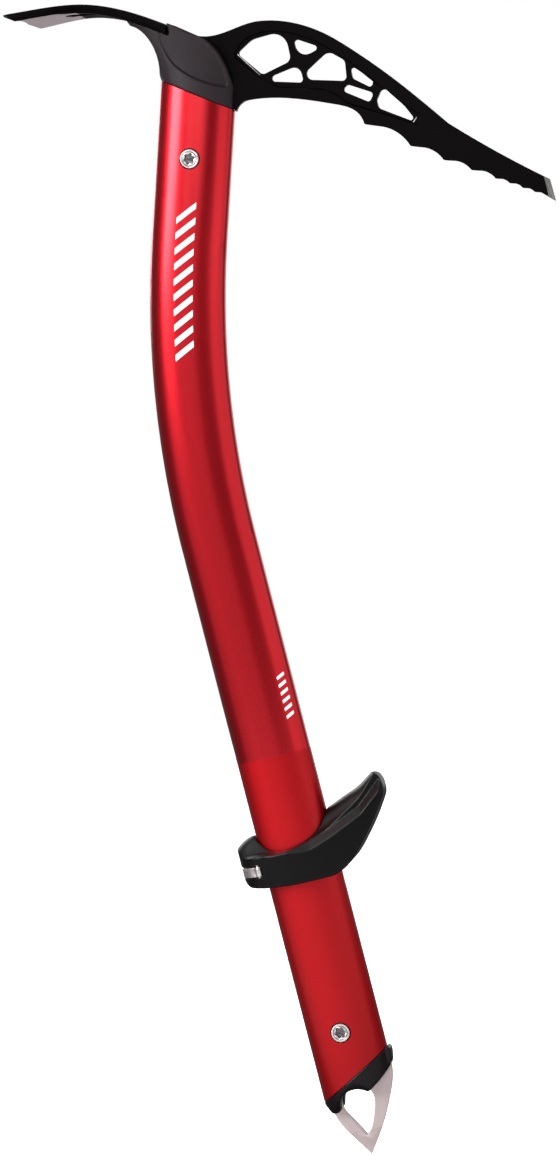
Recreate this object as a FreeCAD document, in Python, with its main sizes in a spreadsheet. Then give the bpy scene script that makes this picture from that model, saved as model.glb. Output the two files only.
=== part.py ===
import FreeCAD, Part
import math
import os

import Sketcher
from FreeCAD import Placement, Rotation, Vector

# Technical ice axe: forged head with toothed pick and adze, bent oval shaft, sliding hand rest, spike.
# Frame: +Z runs up the straight lower shaft, +X points to the pick, Y is the thickness.
# The origin is on the shaft axis, in the middle height of the carabiner eye of the spike.

os.makedirs("parts", exist_ok=True)
doc = FreeCAD.newDocument("ice_axe")

# ---------------------------------------------------------------- driving dimensions (mm, degrees)

SIZES = {
    "shaft_depth": 32.6,
    "shaft_width": 20.6,
    "tube_wall": 1.7,
    "straight_length": 250.0,
    "bend_radius": 410.0,
    "bend_angle": 18.2,
    "neck_length": 90.0,
    "insert_gap": 0.15,
    "plate_thickness": 4.2,
    "rim_relief": 0.7,
    "adze_thickness": 3.4,
    "adze_curve_radius": 140.0,
    "cover_slot_half": 2.15,
    "cover_scoop_root": 4.0,
    "flange_diameter": 7.9,
    "flange_height": 1.1,
    "flange_seat_half": 9.6,
    "barrel_diameter": 6.0,
    "barrel_bore": 3.4,
    "screw_diameter": 3.2,
    "socket_radius": 2.5,
    "socket_depth": 1.9,
    "spike_thickness": 4.0,
    "running_gap": 0.3,
    "rest_bottom": 101.8,
    "lever_height": 4.0,
    "lever_base": 108.4,
    "lever_thickness": 1.2,
    "pin_diameter": 1.2,
    "pad_height": 4.0,
}

sheet = doc.addObject("Spreadsheet::Sheet", "Sizes")
for row, (alias, value) in enumerate(SIZES.items(), start=1):
    sheet.set(f"A{row}", alias)
    sheet.set(f"B{row}", str(value))
    sheet.setAlias(f"B{row}", alias)
doc.recompute()

# ---------------------------------------------------------------- the shaft line and its neck

BEND = math.radians(SIZES["bend_angle"])
NECK_FOOT = Vector(
    SIZES["bend_radius"] * (1 - math.cos(BEND)),
    0,
    SIZES["straight_length"] + SIZES["bend_radius"] * math.sin(BEND),
)
NECK_UP = Vector(math.sin(BEND), 0, math.cos(BEND))
NECK_FRONT = Vector(math.cos(BEND), 0, -math.sin(BEND))

UPPER_BOLT = 32.9
LOWER_BOLT = 35.2
UPPER_CUT = 59.8
UPPER_CUT_ANGLE = 36.3
LOWER_CUT = 14.9
LOWER_CUT_ANGLE = 28.8


def neck_point(along, across=0.0):
    """Point of the mid-plane, given along the neck axis and across it towards the pick."""
    point = NECK_FOOT + NECK_UP * along + NECK_FRONT * across
    return (point.x, point.z)


# ---------------------------------------------------------------- sketch helpers


def new_body(name):
    body = doc.addObject("PartDesign::Body", name)
    body.Label = name
    body.Placement = Placement()
    return body


def new_sketch(body, name, role, offset=None):
    sketch = body.newObject("Sketcher::SketchObject", name)
    plane = next(f for f in body.Origin.OriginFeatures if f.Role == role)
    sketch.AttachmentSupport = [(plane, "")]
    sketch.MapMode = "FlatFace"
    if offset is not None:
        sketch.AttachmentOffset = offset
    return sketch


def flat(point):
    return Vector(point[0], point[1], 0)


def outline(sketch, start, steps):
    """Closed outline: each step is ("line", end), ("arc", middle, end) or ("curve", points, end)."""
    here = start
    for kind, *points in steps:
        there = points[-1]
        if kind == "line":
            edge = Part.LineSegment(flat(here), flat(there))
        elif kind == "arc":
            edge = Part.Arc(flat(here), flat(points[0]), flat(there))
        else:
            edge = Part.BSplineCurve()
            edge.interpolate([flat(p) for p in [here, *points[0], there]])
        sketch.addGeometry(edge)
        here = there


def lines(points):
    return [("line", point) for point in points]


def rounded(sketch, corners):
    """Closed outline of straight lines, with each corner (x, z, radius) rounded by a tangent arc."""
    marks = []
    for index, (x, z, radius) in enumerate(corners):
        here = Vector(x, z, 0)
        back = (flat(corners[index - 1]) - here).normalize()
        ahead = (flat(corners[(index + 1) % len(corners)]) - here).normalize()
        half = back.getAngle(ahead) / 2
        reach = radius / math.tan(half)
        middle = here + (back + ahead).normalize() * (radius / math.sin(half) - radius)
        marks.append((here + back * reach, middle, here + ahead * reach))
    steps = []
    for first, middle, last in marks:
        steps.append(("line", first))
        steps.append(("arc", middle, last))
    outline(sketch, marks[-1][2], steps)


def frame_around(sketch, low, high):
    """Rectangle well outside an outline, so that a pocket removes everything but the outline."""
    corners = [(high[0], low[1]), high, (low[0], high[1]), low]
    outline(sketch, low, lines(corners))


def tilted_box(sketch, centre, tilt, half_length, top, bottom):
    """Rectangle along a tilted line through centre, reaching from bottom to top square to the line."""
    turn = math.radians(tilt)
    corners = [
        (
            centre[0] + along * math.cos(turn) - rise * math.sin(turn),
            centre[1] + along * math.sin(turn) + rise * math.cos(turn),
        )
        for along, rise in (
            (-half_length, bottom),
            (half_length, bottom),
            (half_length, top),
            (-half_length, top),
        )
    ]
    outline(sketch, corners[0], lines([*corners[1:], corners[0]]))


def circle(sketch, centre, size_name):
    index = sketch.addGeometry(Part.Circle(flat(centre), Vector(0, 0, 1), 1.0))
    sketch.addConstraint(Sketcher.Constraint("Diameter", index, SIZES[size_name]))
    sketch.setExpression(f"Constraints[{sketch.ConstraintCount - 1}]", f"Sizes.{size_name}")


def ellipse(sketch, depth, width):
    """Ellipse about the sketch origin with its long axis along the sketch's first axis."""
    curve = Part.Ellipse(Vector(depth / 2, 0, 0), Vector(0, width / 2, 0), Vector(0, 0, 0))
    index = sketch.addGeometry(curve)
    sketch.exposeInternalGeometry(index)
    return index


def oval(sketch, shrink="0"):
    """The section of the shaft, smaller by shrink (an expression) all round."""
    index = ellipse(sketch, SIZES["shaft_depth"], SIZES["shaft_width"])
    sketch.addConstraint(Sketcher.Constraint("Coincident", index, 3, -1, 1))
    sketch.addConstraint(Sketcher.Constraint("Horizontal", index + 1))
    for axis, size in ((index + 1, "shaft_depth"), (index + 2, "shaft_width")):
        sketch.addConstraint(Sketcher.Constraint("Distance", axis, SIZES[size]))
        sketch.setExpression(
            f"Constraints[{sketch.ConstraintCount - 1}]", f"Sizes.{size} - 2 * ({shrink})"
        )


def pad(body, sketch, name, length, both_sides=True):
    feature = body.newObject("PartDesign::Pad", name)
    feature.Profile = sketch
    feature.SideType = "Symmetric" if both_sides else "One side"
    feature.setExpression("Length", length)
    sketch.Visibility = False
    return feature


def pocket(body, sketch, name, length=None, reversed_way=False, both_sides=False):
    """Cut through everything on both sides, or to a length on one side or both sides of the sketch."""
    feature = body.newObject("PartDesign::Pocket", name)
    feature.Profile = sketch
    if length is None:
        feature.SideType = "Symmetric"
        feature.Type = "ThroughAll"
    else:
        feature.SideType = "Symmetric" if both_sides else "One side"
        feature.setExpression("Length", length)
        feature.Reversed = reversed_way
    sketch.Visibility = False
    return feature


def cross_hole(body, name, centre, radius):
    """Round hole along Y through the whole body."""
    sketch = new_sketch(body, name, "XZ_Plane")
    sketch.addGeometry(Part.Circle(flat(centre), Vector(0, 0, 1), radius))
    pocket(body, sketch, name + "_cut")


def across_neck(along):
    """Placement of a sketch square to the neck axis."""
    x, z = neck_point(along)
    return Placement(Vector(x, 0, z), Rotation(Vector(0, 1, 0), SIZES["bend_angle"]))


def cut_above(body, name, point, angle, reach=60.0, rise=120.0):
    """Remove everything above a slanted line through a mid-plane point."""
    sketch = new_sketch(body, name + "_sketch", "XZ_Plane")
    slope = math.tan(math.radians(angle))
    left = (point[0] - reach, point[1] - reach * slope)
    right = (point[0] + reach, point[1] + reach * slope)
    outline(sketch, left, lines([right, (right[0], right[1] + rise), (left[0], left[1] + rise), left]))
    pocket(body, sketch, name)


# ---------------------------------------------------------------- shaft


def shaft_line(body):
    sketch = new_sketch(body, "shaft_line", "XZ_Plane")
    radius = SIZES["bend_radius"]
    length = SIZES["straight_length"]
    half = BEND / 2
    middle = (radius * (1 - math.cos(half)), length + radius * math.sin(half))
    steps = [
        ("line", (0, length)),
        ("arc", middle, neck_point(0)),
        ("line", neck_point(SIZES["neck_length"])),
    ]
    outline(sketch, (0, 0), steps)
    sketch.Visibility = False
    return sketch


def sweep(body, kind, name, profile, spine):
    feature = body.newObject(f"PartDesign::{kind}Pipe", name)
    feature.Profile = profile
    feature.Spine = spine
    profile.Visibility = False
    return feature


def build_shaft_tube():
    body = new_body("shaft_tube")
    spine = shaft_line(body)
    outer = new_sketch(body, "tube_outside", "XY_Plane")
    oval(outer)
    sweep(body, "Additive", "tube_sweep", outer, spine)
    inner = new_sketch(body, "tube_inside", "XY_Plane")
    oval(inner, "Sizes.tube_wall")
    sweep(body, "Subtractive", "tube_hollow", inner, spine)
    cut_above(body, "upper_end", neck_point(UPPER_CUT), -UPPER_CUT_ANGLE)
    cut_above(body, "lower_end", (0, LOWER_CUT), LOWER_CUT_ANGLE, rise=-120.0)
    cross_hole(body, "lower_bolt_hole", (0, LOWER_BOLT), 3.1)
    cross_hole(body, "upper_bolt_hole", neck_point(UPPER_BOLT), 3.1)
    for side, name in ((-1, "near"), (1, "far")):
        seat_level = Placement(Vector(0, 0, -side * SIZES["flange_seat_half"]), Rotation())
        seats = new_sketch(body, f"flange_seats_{name}", "XZ_Plane", seat_level)
        for centre in ((0, LOWER_BOLT), neck_point(UPPER_BOLT)):
            seats.addGeometry(Part.Circle(flat(centre), Vector(0, 0, 1), 4.35))
        pocket(body, seats, f"flange_seat_cut_{name}", "4", reversed_way=(side < 0))
    return body


# ---------------------------------------------------------------- head forging

PICK_TIP = (174.3, 353.4)
TOOTH_TIPS = [
    (104.9, 404.7),
    (121.4, 390.9),
    (133.4, 381.7),
    (143.6, 374.7),
    (152.5, 368.7),
    (157.6, 365.4),
    (162.4, 362.1),
    (166.8, 359.2),
]


def tooth_steps():
    """Scoops between the teeth, from the first tooth to the point of the pick."""
    steps = []
    for (x0, z0), (x1, z1) in zip(TOOTH_TIPS, TOOTH_TIPS[1:]):
        run, fall = x1 - x0, z0 - z1
        shoulder = (x0 + 0.32 * run, z0 - 0.16 * fall)
        crown = (x0 + 0.74 * run, z0 - 0.48 * fall)
        steps.append(("line", shoulder))
        steps.append(("arc", crown, (x1, z1)))
    last_x, last_z = TOOTH_TIPS[-1]
    steps.append(("line", (last_x + 2.6, last_z - 0.9)))
    steps.append(("line", PICK_TIP))
    return steps


def forging_outline(sketch):
    """Pick, body under the adze, and tang, walked clockwise from the front of the tang."""
    tang_front, tang_back = 11.2, -11.2
    start = neck_point(8.0, tang_front)
    steps = [
        ("line", neck_point(8.0, tang_back)),
        ("line", neck_point(58.0, tang_back)),
        ("curve", [(29.8, 450.5), (30.2, 457.0)], (27.0, 464.6)),
        ("line", (22.6, 469.7)),
        ("arc", (29.0, 466.0), (35.4, 461.0)),
        ("line", (35.4, 466.2)),
        ("line", (43.6, 459.9)),
        ("curve", [(48.4, 457.7), (53.0, 457.0), (63.1, 457.7)], (72.8, 457.7)),
        ("curve", [(80.2, 455.8), (88.1, 452.3), (97.0, 446.3), (105.4, 438.2), (123.4, 417.1)],
         (138.8, 396.1)),
        ("curve", [(154.6, 380.3)], (174.1, 362.8)),
        ("line", PICK_TIP),
    ]
    outline(sketch, start, steps)
    here = TOOTH_TIPS[0]
    outline(sketch, here, tooth_steps())
    under = [
        ("curve", [(102.9, 410.6), (94.0, 416.4), (82.2, 421.5), (69.8, 425.6)], (59.8, 427.3)),
        ("arc", (55.9, 426.4), (53.45, 423.8)),
        ("line", (53.25, 424.75)),
        ("line", (48.6, 428.15)),
        ("line", start),
    ]
    outline(sketch, here, under)


PICK_HOLES = [
    [(59.9, 447.2, 1.6), (67.5, 451.3, 9.0), (82.0, 451.3, 6.6), (81.4, 438.3, 3.0), (68.2, 435.8, 2.4)],
    [(84.5, 447.2, 1.3), (95.0, 440.3, 1.2), (84.7, 437.9, 4.6)],
    [(82.1, 430.1, 2.6), (97.4, 438.1, 3.5), (103.4, 432.4, 2.5), (102.1, 424.0, 1.8)],
    [(66.5, 433.6, 1.4), (84.5, 435.9, 3.6), (84.3, 428.1, 1.4)],
    [(105.0, 430.2, 1.1), (112.9, 421.4, 1.0), (111.6, 418.4, 1.3), (104.7, 424.4, 1.6)],
    [(99.0, 420.7, 1.3), (102.0, 422.5, 1.2), (111.9, 416.2, 1.4), (109.2, 413.0, 1.3)],
    [(126.7, 399.3, 1.0), (112.3, 409.6, 2.0), (112.2, 412.9, 2.0), (116.1, 417.9, 1.9),
     (123.0, 407.6, 15.0)],
]

RELIEF = ((59.6, 447.6), [
    ("curve", [(66.6, 452.4), (74.6, 452.6), (84.0, 449.4), (97.6, 439.6), (113.0, 421.6)],
     (127.6, 403.2)),
    ("arc", (127.9, 400.0), (124.6, 399.8)),
    ("line", (113.4, 407.0)),
    ("line", (100.0, 415.0)),
    ("curve", [(92.0, 422.8), (82.6, 426.2)], (73.0, 429.6)),
    ("line", (66.4, 435.4)),
    ("line", (60.0, 444.2)),
    ("arc", (59.0, 446.0), (59.6, 447.6)),
])


def build_head_forging():
    body = new_body("head_forging")
    blank = new_sketch(body, "forging_blank", "XZ_Plane")
    forging_outline(blank)
    pad(body, blank, "forging_plate", "Sizes.plate_thickness")
    tenon = new_sketch(body, "adze_tenon", "XZ_Plane")
    tilted_box(tenon, ADZE_TENON, ADZE_TENON_TILT, 3.2, -0.1, -4.5)
    pad(body, tenon, "adze_tenon_pad", "3.0")
    holes = new_sketch(body, "pick_holes", "XZ_Plane")
    for corners in PICK_HOLES:
        rounded(holes, corners)
    pocket(body, holes, "pick_hole_cut")
    for side, name in ((-1, "near"), (1, "far")):
        level = Placement(Vector(0, 0, -side * SIZES["plate_thickness"] / 2), Rotation())
        relief = new_sketch(body, f"rim_relief_{name}", "XZ_Plane", level)
        outline(relief, *RELIEF)
        pocket(body, relief, f"rim_relief_cut_{name}", "Sizes.rim_relief", reversed_way=(side > 0))
    cross_hole(body, "tang_bolt_hole", neck_point(UPPER_BOLT), 3.15)
    below_point = Placement(Vector(0, 0, 340), Rotation())
    for side, name in ((-1, "near"), (1, "far")):
        bevel = new_sketch(body, f"point_bevel_{name}", "XY_Plane", below_point)
        skin, inner, outer = side * 2.15, side * 0.7, side * 3.0
        corners = [(172.0, skin), (175.4, inner), (178.0, inner), (178.0, outer), (172.0, outer)]
        outline(bevel, corners[-1], lines(corners))
        pocket(body, bevel, f"point_bevel_cut_{name}", "40", reversed_way=True)
    return body


# ---------------------------------------------------------------- adze

ADZE_TENON = (30.5, 469.2)
ADZE_TENON_TILT = -33.0
ADZE_RIDGE = [
    (-32.0, 488.6),
    (-11.0, 486.3),
    (3.2, 483.6),
    (17.3, 477.6),
    (26.0, 472.3),
    (35.6, 465.6),
]


def build_adze_blade():
    body = new_body("adze_blade")
    ridge = new_sketch(body, "adze_ridge", "XZ_Plane")
    outline(ridge, ADZE_RIDGE[0], [("curve", ADZE_RIDGE[1:-1], ADZE_RIDGE[-1])])
    ridge.Visibility = False
    section = new_sketch(body, "adze_section", "YZ_Plane", Placement(Vector(0, 0, -32.0), Rotation()))
    half, top = 24.0, ADZE_RIDGE[0][1]
    sag = half * half / (2 * SIZES["adze_curve_radius"])
    low = top - SIZES["adze_thickness"]
    steps = [
        ("arc", (0, top), (half, top - sag)),
        ("line", (half, low - sag)),
        ("arc", (0, low), (-half, low - sag)),
        ("line", (-half, top - sag)),
    ]
    outline(section, (-half, top - sag), steps)
    sweep(body, "Additive", "adze_sweep", section, ridge)
    plan = new_sketch(body, "adze_plan", "XY_Plane", Placement(Vector(0, 0, 470), Rotation()))
    frame_around(plan, (-40, -40), (50, 40))
    side = [(-26.0, 22.6), (-14.0, 20.2), (2.0, 15.4), (16.0, 12.0), (35.0, 10.4)]
    mirrored = [(x, -y) for x, y in side]
    steps = [
        ("line", side[0]),
        ("curve", side[1:-1], side[-1]),
        ("line", mirrored[-1]),
        ("curve", mirrored[-2:0:-1], mirrored[0]),
        ("line", (-28.4, -22.4)),
        ("arc", (-25.8, 0), (-28.4, 22.4)),
    ]
    outline(plan, (-28.4, 22.4), steps)
    pocket(body, plan, "adze_trim")
    windows = new_sketch(body, "adze_windows", "XY_Plane", Placement(Vector(0, 0, 470), Rotation()))
    for side in (-1, 1):
        outline(windows, (-6.0, side * 3.2), [
            ("line", (3.0, side * 2.6)),
            ("arc", (4.6, side * 4.2), (3.4, side * 6.0)),
            ("line", (-5.0, side * 9.6)),
            ("arc", (-8.6, side * 7.4), (-6.0, side * 3.2)),
        ])
    outline(windows, (10.6, -2.4), [
        ("line", (15.0, -1.8)),
        ("arc", (16.6, 0), (15.0, 1.8)),
        ("line", (10.6, 2.4)),
        ("arc", (8.6, 0), (10.6, -2.4)),
    ])
    pocket(body, windows, "adze_window_cut")
    slot = new_sketch(body, "adze_tenon_slot", "XZ_Plane")
    tilted_box(slot, ADZE_TENON, ADZE_TENON_TILT, 3.3, 3.0, -8.0)
    pocket(body, slot, "adze_tenon_slot_cut", "3.2", both_sides=True)
    bevel = new_sketch(body, "adze_edge_bevel", "XZ_Plane")
    corners = [(-24.0, 482.4), (-26.0, 476.0), (-38.0, 478.0), (-34.0, 489.6)]
    outline(bevel, corners[-1], lines(corners))
    pocket(body, bevel, "adze_bevel_cut")
    return body


# ---------------------------------------------------------------- head cover and tang sleeve


def cover_outline(sketch):
    start = neck_point(UPPER_CUT + 5.8, -17.2)
    right_foot = neck_point(UPPER_CUT - 5.35, 16.9)
    steps = [
        ("curve", [(26.4, 448.6), (27.3, 454.7), (26.4, 460.4), (23.4, 466.4)], (17.4, 470.9)),
        ("line", (16.6, 473.6)),
        ("curve", [(24.6, 468.7)], (35.3, 461.0)),
        ("line", (35.3, 466.7)),
        ("line", (44.6, 459.4)),
        ("curve", [(48.7, 456.2), (52.3, 451.4), (54.4, 444.9), (55.3, 436.0)], (54.2, 424.6)),
        ("line", right_foot),
        ("line", start),
    ]
    outline(sketch, start, steps)


# Sections along the neck: name, distance along the neck, shift towards the pick, depth and width.
COVER_SKIN = [
    ("foot", 48.0, 0.0, SIZES["shaft_depth"], SIZES["shaft_width"]),
    ("waist", 66.0, 0.0, SIZES["shaft_depth"], SIZES["shaft_width"]),
    ("brow", 84.0, -5.0, 46.0, 19.6),
    ("crown", 104.0, -12.0, 66.0, 18.0),
]
COVER_FLOOR = [
    ("foot", 48.0, 0.0, 32.0, 17.2),
    ("waist", 66.0, 0.0, 32.0, 17.4),
    ("brow", 84.0, -5.0, 45.4, 19.0),
    ("crown", 104.0, -12.0, 65.4, 17.4),
]


def cover_loft(body, name, sections):
    """Solid lofted through ellipses square to the neck."""
    profiles = []
    for level, along, shift, depth, width in sections:
        base = across_neck(along)
        place = Placement(base.Base + NECK_FRONT * shift, base.Rotation)
        sketch = new_sketch(body, f"{name}_{level}", "XY_Plane", place)
        ellipse(sketch, depth, width)
        sketch.Visibility = False
        profiles.append(sketch)
    loft = body.newObject("PartDesign::AdditiveLoft", name)
    loft.Profile = profiles[0]
    loft.Sections = profiles[1:]


def build_head_cover(name, side):
    body = new_body(name)
    cover_loft(body, name + "_skin", COVER_SKIN)
    root = Placement(Vector(0, 0, -side * SIZES["cover_scoop_root"]), Rotation())
    scoop = new_sketch(body, name + "_scoop", "XZ_Plane", root)
    outline(scoop, (31.4, 455.8), [
        ("curve", [(34.2, 448.7), (39.6, 442.5), (46.0, 437.7)], (52.4, 434.6)),
        ("arc", (53.3, 435.2), (53.8, 437.0)),
        ("curve", [(53.4, 444.2), (51.6, 449.9)], (47.0, 457.6)),
        ("line", (44.0, 463.0)),
        ("line", (35.0, 471.0)),
        ("arc", (31.0, 464.0), (31.4, 455.8)),
    ])
    pocket(body, scoop, name + "_scoop_cut", "12", reversed_way=(side < 0))
    cover_loft(body, name + "_floor", COVER_FLOOR)
    trim = new_sketch(body, name + "_outline", "XZ_Plane")
    frame_around(trim, (-60, 380), (120, 520))
    cover_outline(trim)
    pocket(body, trim, name + "_trim")
    seam = Placement(Vector(0, 0, -side * 0.05), Rotation())
    half = new_sketch(body, name + "_split", "XZ_Plane", seam)
    frame_around(half, (-60, 380), (120, 520))
    pocket(body, half, name + "_split_cut", "30", reversed_way=(side > 0))
    slot = new_sketch(body, name + "_slot", "XZ_Plane")
    outline(slot, (27.2, 434.0), [
        ("line", (27.6, 441.0)),
        ("line", (29.2, 450.4)),
        ("line", (29.5, 457.2)),
        ("line", (26.4, 464.4)),
        ("line", (21.8, 470.2)),
        ("line", (26.0, 476.0)),
        ("line", (70.0, 476.0)),
        ("line", (70.0, 410.0)),
        ("line", (48.0, 410.0)),
        ("line", (27.2, 434.0)),
    ])
    pocket(body, slot, name + "_slot_cut", "Sizes.cover_slot_half", reversed_way=(side < 0))
    return body


def tang_slot(body, name, place, half_depth, half_width):
    """Slot for a flat tang through a sleeve, square to the sketch placement."""
    slot = new_sketch(body, name, "XY_Plane", place)
    low = (-half_depth, -half_width)
    corners = [(half_depth, -half_width), (half_depth, half_width), (-half_depth, half_width), low]
    outline(slot, low, lines(corners))
    pocket(body, slot, name + "_cut")


def build_tang_sleeve():
    body = new_body("tang_sleeve")
    section = new_sketch(body, "sleeve_section", "XY_Plane", across_neck(6.0))
    oval(section, "Sizes.tube_wall + Sizes.insert_gap")
    pad(body, section, "sleeve_pad", "47", both_sides=False)
    tang_slot(body, "sleeve_slot", across_neck(6.0), 11.35, 2.2)
    cross_hole(body, "sleeve_bolt_hole", neck_point(UPPER_BOLT), 3.1)
    return body


# ---------------------------------------------------------------- through bolts


def star(sketch, centre, radius, lobes=6):
    """Six-lobed socket outline made of alternating outward and inward arcs."""

    def at(angle, size):
        return (centre[0] + size * math.cos(angle), centre[1] + size * math.sin(angle))

    step = 2 * math.pi / lobes
    width = 0.2 * step
    steps = []
    for lobe in range(lobes):
        middle = lobe * step
        steps.append(("arc", at(middle, radius), at(middle + width, 0.93 * radius)))
        hollow = middle + step / 2
        steps.append(("arc", at(hollow, 0.76 * radius), at(hollow + step / 2 - width, 0.93 * radius)))
    outline(sketch, at(-width, 0.93 * radius), steps)


def build_bolt(name, centre, side, shank_name, length, bore):
    """Flanged half of a through bolt; the flange sits in its seat on the given side of the shaft."""
    body = new_body(name)
    seat = SIZES["flange_seat_half"] + 0.02
    level = Placement(Vector(0, 0, -side * seat), Rotation())
    flange = new_sketch(body, name + "_flange", "XZ_Plane", level)
    circle(flange, centre, "flange_diameter")
    head = pad(body, flange, name + "_flange_pad", "Sizes.flange_height", both_sides=False)
    head.Reversed = side > 0
    for stem, size, reach in (("shoulder", "barrel_diameter", "2.4"), ("shank", shank_name, length)):
        section = new_sketch(body, f"{name}_{stem}", "XZ_Plane", level)
        circle(section, centre, size)
        stem_pad = pad(body, section, f"{name}_{stem}_pad", reach, both_sides=False)
        stem_pad.Reversed = side < 0
    outside = Placement(Vector(0, 0, -side * (seat + SIZES["flange_height"])), Rotation())
    socket = new_sketch(body, name + "_socket", "XZ_Plane", outside)
    star(socket, centre, SIZES["socket_radius"])
    pocket(body, socket, name + "_socket_cut", "Sizes.socket_depth", reversed_way=(side > 0))
    if bore:
        floor = Placement(Vector(0, 0, -side * 6.5), Rotation())
        hole = new_sketch(body, name + "_bore", "XZ_Plane", floor)
        circle(hole, centre, "barrel_bore")
        pocket(body, hole, name + "_bore_cut", "20", reversed_way=(side > 0))
    return body


# ---------------------------------------------------------------- spike end


def build_spike_blade():
    body = new_body("spike_blade")
    blank = new_sketch(body, "spike_blank", "XZ_Plane")
    outline(blank, (-1.9, -20.6), [
        ("line", (-9.6, -8.4)),
        ("curve", [(-12.0, -3.6)], (-13.6, 1.6)),
        ("line", (-13.2, 4.4)),
        ("line", (-10.5, 8.0)),
        ("line", (-10.5, 60.0)),
        ("line", (10.5, 60.0)),
        ("line", (10.5, 20.0)),
        ("line", (16.0, 19.0)),
        ("curve", [(16.0, 14.6), (14.9, 9.2), (12.0, 2.2), (8.6, -4.6)], (1.1, -16.4)),
        ("line", (-1.9, -20.6)),
    ])
    pad(body, blank, "spike_plate", "Sizes.spike_thickness")
    eye = new_sketch(body, "spike_eye", "XZ_Plane")
    outline(eye, (-1.6, -12.0), [
        ("curve", [(1.4, -8.6), (4.2, -2.2), (5.5, 3.6)], (4.4, 7.2)),
        ("arc", (-1.2, 9.7), (-7.2, 7.4)),
        ("curve", [(-9.0, 4.4), (-8.9, 1.4)], (-7.2, -2.2)),
        ("line", (-1.6, -12.0)),
    ])
    pocket(body, eye, "spike_eye_cut")
    cross_hole(body, "spike_bolt_hole", (0, LOWER_BOLT), 3.15)
    for side, name in ((-1, "near"), (1, "far")):
        bevel = new_sketch(body, f"spike_bevel_{name}", "YZ_Plane")
        skin, inner, outer = side * 2.05, side * 0.8, side * 3.0
        corners = [(skin, -9.0), (inner, -22.0), (outer, -22.0), (outer, -9.0)]
        outline(bevel, corners[-1], lines(corners))
        pocket(body, bevel, f"spike_bevel_cut_{name}")
    return body


def build_spike_ferrule():
    body = new_body("spike_ferrule")
    flush = new_sketch(body, "ferrule_flush", "XY_Plane")
    oval(flush)
    pad(body, flush, "ferrule_collar", "28", both_sides=False)
    cut_above(body, "ferrule_top", (0, LOWER_CUT - 0.1), LOWER_CUT_ANGLE)
    plug = new_sketch(body, "ferrule_plug_section", "XY_Plane")
    oval(plug, "Sizes.tube_wall + Sizes.insert_gap")
    pad(body, plug, "ferrule_plug", "28.5", both_sides=False)
    lip = new_sketch(body, "ferrule_lip", "XZ_Plane")
    outline(lip, (14.4, 22.4), [
        ("line", (14.4, 12.0)),
        ("line", (16.2, 15.6)),
        ("curve", [(17.5, 19.6)], (17.7, 23.0)),
        ("line", (16.9, 23.9)),
        ("line", (14.4, 22.4)),
    ])
    pad(body, lip, "ferrule_lip_pad", "7")
    under = new_sketch(body, "ferrule_under", "XZ_Plane")
    outline(under, (19.0, 17.6), [
        ("line", (16.4, 16.0)),
        ("curve", [(12.4, 12.4)], (5.0, 7.6)),
        ("arc", (-1.2, 9.9), (-6.6, 7.8)),
        ("curve", [(-8.4, 4.6)], (-8.9, 1.8)),
        ("curve", [(-11.0, 0.7)], (-13.2, 1.3)),
        ("line", (-15.6, 4.4)),
        ("line", (-22.0, 4.4)),
        ("line", (-22.0, -6.0)),
        ("line", (19.0, -6.0)),
        ("line", (19.0, 17.6)),
    ])
    pocket(body, under, "ferrule_under_cut")
    for side, name in ((-1, "near"), (1, "far")):
        taper = new_sketch(body, f"ferrule_taper_{name}", "YZ_Plane")
        outline(taper, (side * 14.0, 14.0), [
            ("line", (side * 10.4, 14.0)),
            ("curve", [(side * 9.0, 6.6)], (side * 5.6, 0.0)),
            ("line", (side * 14.0, 0.0)),
            ("line", (side * 14.0, 14.0)),
        ])
        pocket(body, taper, f"ferrule_taper_cut_{name}")
    tang_slot(body, "ferrule_slot", Placement(), 10.7, 2.1)
    mouth = new_sketch(body, "ferrule_mouth", "XZ_Plane")
    corners = [
        (-13.9, 4.8),
        (-10.7, 8.4),
        (10.7, 21.0),
        (16.4, 19.4),
        (18.4, 17.0),
        (18.4, 0.0),
        (-13.9, 0.0),
    ]
    outline(mouth, corners[-1], lines(corners))
    pocket(body, mouth, "ferrule_mouth_cut", "4.2", both_sides=True)
    return body


def build_spike_sleeve():
    body = new_body("spike_sleeve")
    foot = Placement(Vector(0, 0, 28.8), Rotation())
    section = new_sketch(body, "spike_sleeve_section", "XY_Plane", foot)
    oval(section, "Sizes.tube_wall + Sizes.insert_gap")
    pad(body, section, "spike_sleeve_pad", "32", both_sides=False)
    tang_slot(body, "spike_sleeve_slot", foot, 10.7, 2.1)
    cross_hole(body, "spike_sleeve_bolt_hole", (0, LOWER_BOLT), 3.1)
    return body


def build_foam_plug(name, place, length):
    """Closed-cell foam that keeps snow out of the middle of the tube."""
    body = new_body(name)
    section = new_sketch(body, name + "_section", "XY_Plane", place)
    oval(section, "Sizes.tube_wall + Sizes.insert_gap")
    pad(body, section, name + "_pad", length, both_sides=False)
    return body


# ---------------------------------------------------------------- sliding hand rest

REST_BACK_CENTRE = -11.8
REST_BACK_RADIUS = 13.8
KNUCKLE = (-16.6, -11.9)
CREST = [
    (-28.0, 117.6),
    (-24.4, 121.6),
    (-19.8, 124.2),
    (-10.0, 124.4),
    (4.0, 125.6),
    (16.4, 129.0),
    (25.9, 132.8),
    (31.8, 135.1),
    (38.0, 139.0),
    (48.0, 143.0),
]


def back_point(angle, radius):
    """Point of the rounded back of the hand rest seen from above; angle from the +X direction."""
    turn = math.radians(angle)
    return (REST_BACK_CENTRE + radius * math.cos(turn), radius * math.sin(turn))


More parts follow.
